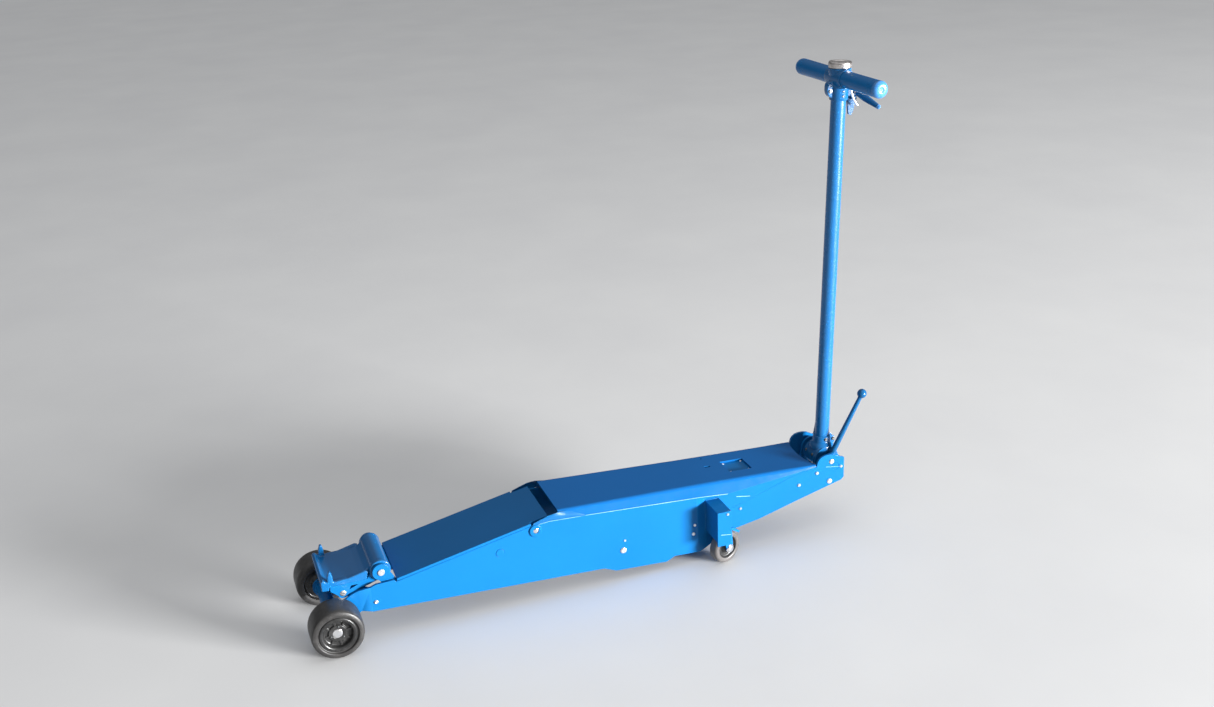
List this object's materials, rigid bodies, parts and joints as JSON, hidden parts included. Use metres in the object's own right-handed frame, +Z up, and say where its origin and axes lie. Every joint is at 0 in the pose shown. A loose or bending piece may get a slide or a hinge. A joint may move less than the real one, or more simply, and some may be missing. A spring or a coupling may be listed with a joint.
{
  "type": "trolley jack",
  "caption": "Long-chassis trolley jack with T-bar handle, dished saddle, front wheels and swivel casters; the arm, saddle linkage, pump handle, knob, trigger and wheels move.",
  "frame": {"origin": "on the floor plane under the middle of the jack's bounding box", "axes": "-Y points forward to the saddle, +X to the jack's left side, +Z up"},
  "size_m": [0.465, 1.8, 1.4652],
  "materials": {
    "blue_paint": "gloss enamel, worn at edges",
    "bright_steel": "bright turned steel",
    "knob_chrome": "dull chrome",
    "front_tyre": "moulded solid tyre",
    "caster_tread": "grey rubber tread",
    "dark_steel": "black oxide",
    "piston_chrome": "hard chrome"
  },
  "bodies": {
    "chassis": {"side_plate_left": "blue_paint", "side_plate_right": "blue_paint", "rear_cover": "blue_paint", "access_cover": "blue_paint", "access_cover_screws": "bright_steel", "front_axle": "bright_steel", "front_axle_tube": "blue_paint", "front_axle_spacers": "bright_steel", "arm_pivot_shaft": "bright_steel", "arm_pivot_caps": "bright_steel", "link_pivot_shaft": "bright_steel", "front_cross_tube": "blue_paint", "frame_bolts": "bright_steel", "hydraulic_cylinder": "dark_steel", "cylinder_cradle": "dark_steel", "valve_block": "dark_steel", "reservoir_tank": "dark_steel", "pump_block": "dark_steel", "pressure_pipe": "bright_steel", "caster_housing_left": "blue_paint", "caster_housing_right": "blue_paint", "handle_bracket": "blue_paint", "handle_pivot_pin": "bright_steel", "rear_tie_bar": "blue_paint"},
    "arm": {"arm_top_plate": "blue_paint", "arm_web_left": "blue_paint", "arm_web_right": "blue_paint", "arm_torque_tube": "blue_paint", "arm_crank_plates": "blue_paint", "ram_pin": "bright_steel", "saddle_pins": "bright_steel"},
    "links": {"level_link_left": "blue_paint", "level_link_right": "blue_paint"},
    "carrier": {"saddle_carrier": "blue_paint", "link_front_pins": "bright_steel", "saddle": "blue_paint"},
    "ram": {"ram_rod": "piston_chrome", "ram_crosshead": "dark_steel"},
    "plunger": {"pump_plunger": "piston_chrome"},
    "handle": {"handle_yoke": "blue_paint", "pump_roller": "bright_steel", "handle_tube": "blue_paint", "t_head": "blue_paint", "t_bar": "blue_paint", "t_bar_caps": "blue_paint", "trigger_bracket": "blue_paint", "lock_rod": "bright_steel"},
    "knob": {"release_knob": "knob_chrome", "release_rod": "bright_steel"},
    "trigger": {"trigger_lever": "blue_paint"},
    "lowering": {"lowering_lever": "blue_paint"},
    "handle_lock": {"handle_lock_lever": "blue_paint"},
    "front_left": {"front_wheel_left": "front_tyre"},
    "front_right": {"front_wheel_right": "front_tyre"},
    "swivel_left": {"caster_fork_left": "blue_paint", "caster_axle_left": "bright_steel"},
    "swivel_right": {"caster_fork_right": "blue_paint", "caster_axle_right": "bright_steel"},
    "roller_left": {"caster_wheel_left": "caster_tread"},
    "roller_right": {"caster_wheel_right": "caster_tread"}
  },
  "joints": [
    {"name": "arm_lift", "type": "hinge", "parent": "chassis", "child": "arm", "pos_m": [0, -0.2225, 0.2265], "axis": [-1, 0, 0], "range_deg": [0, 45]},
    {"name": "link_swing", "type": "hinge", "parent": "chassis", "child": "links", "pos_m": [0, -0.333, 0.178], "axis": [-1, 0, 0], "range_deg": [0, 45]},
    {"name": "saddle_level", "type": "hinge", "parent": "arm", "child": "carrier", "pos_m": [0, -0.677, 0.192], "axis": [1, 0, 0], "range_deg": [0, 45]},
    {"name": "ram_slide", "type": "slide", "parent": "chassis", "child": "ram", "axis": [0, -1, 0], "range_m": [0, 0.07272]},
    {"name": "handle_swing", "type": "hinge", "parent": "chassis", "child": "handle", "pos_m": [0, 0.771, 0.218], "axis": [-1, 0, 0], "range_deg": [0, 70]},
    {"name": "plunger_slide", "type": "slide", "parent": "chassis", "child": "plunger", "axis": [0, -1, 0], "range_m": [0, 0.03666]},
    {"name": "knob_turn", "type": "hinge", "parent": "handle", "child": "knob", "pos_m": [0, 0.80706, 1.44747], "axis": [0, 0.0293, 0.9996], "range_deg": [0, 360]},
    {"name": "trigger_pull", "type": "hinge", "parent": "handle", "child": "trigger", "pos_m": [0.014, 0.85981, 1.36989], "axis": [-0.0578, -0.6812, -0.7298], "range_deg": [0, 14], "stiffness_Nm_per_rad": 1, "springref_deg": -17.19},
    {"name": "lowering_lever_swing", "type": "hinge", "parent": "chassis", "child": "lowering", "pos_m": [0.05, 0.771, 0.218], "axis": [-1, 0, 0], "range_deg": [-20, 15]},
    {"name": "handle_lock_swing", "type": "hinge", "parent": "chassis", "child": "handle_lock", "pos_m": [-0.05, 0.771, 0.218], "axis": [-1, 0, 0], "range_deg": [0, 30]},
    {"name": "front_wheel_left_spin", "type": "hinge", "parent": "chassis", "child": "front_left", "pos_m": [0.145, -0.825, 0.075], "axis": [1, 0, 0], "continuous": true},
    {"name": "front_wheel_right_spin", "type": "hinge", "parent": "chassis", "child": "front_right", "pos_m": [-0.145, -0.825, 0.075], "axis": [1, 0, 0], "continuous": true},
    {"name": "caster_swivel_left", "type": "hinge", "parent": "chassis", "child": "swivel_left", "pos_m": [0.147, 0.345, 0.118], "axis": [0, 0, 1], "range_deg": [-38, 0]},
    {"name": "caster_spin_left", "type": "hinge", "parent": "swivel_left", "child": "roller_left", "pos_m": [0.13948, 0.36567, 0.052], "axis": [0.9397, 0.342, 0], "continuous": true},
    {"name": "caster_swivel_right", "type": "hinge", "parent": "chassis", "child": "swivel_right", "pos_m": [-0.147, 0.345, 0.118], "axis": [0, 0, 1], "range_deg": [0, 38]},
    {"name": "caster_spin_right", "type": "hinge", "parent": "swivel_right", "child": "roller_right", "pos_m": [-0.13948, 0.36567, 0.052], "axis": [0.9397, -0.342, 0], "continuous": true}
  ],
  "couplings": [
    {"joint": "link_swing", "follows": "arm_lift", "ratio": 1},
    {"joint": "saddle_level", "follows": "arm_lift", "ratio": 1},
    {"joint": "ram_slide", "follows": "arm_lift", "m_per_rad": 0.092577},
    {"joint": "plunger_slide", "follows": "handle_swing", "m_per_rad": 0.03}
  ]
}
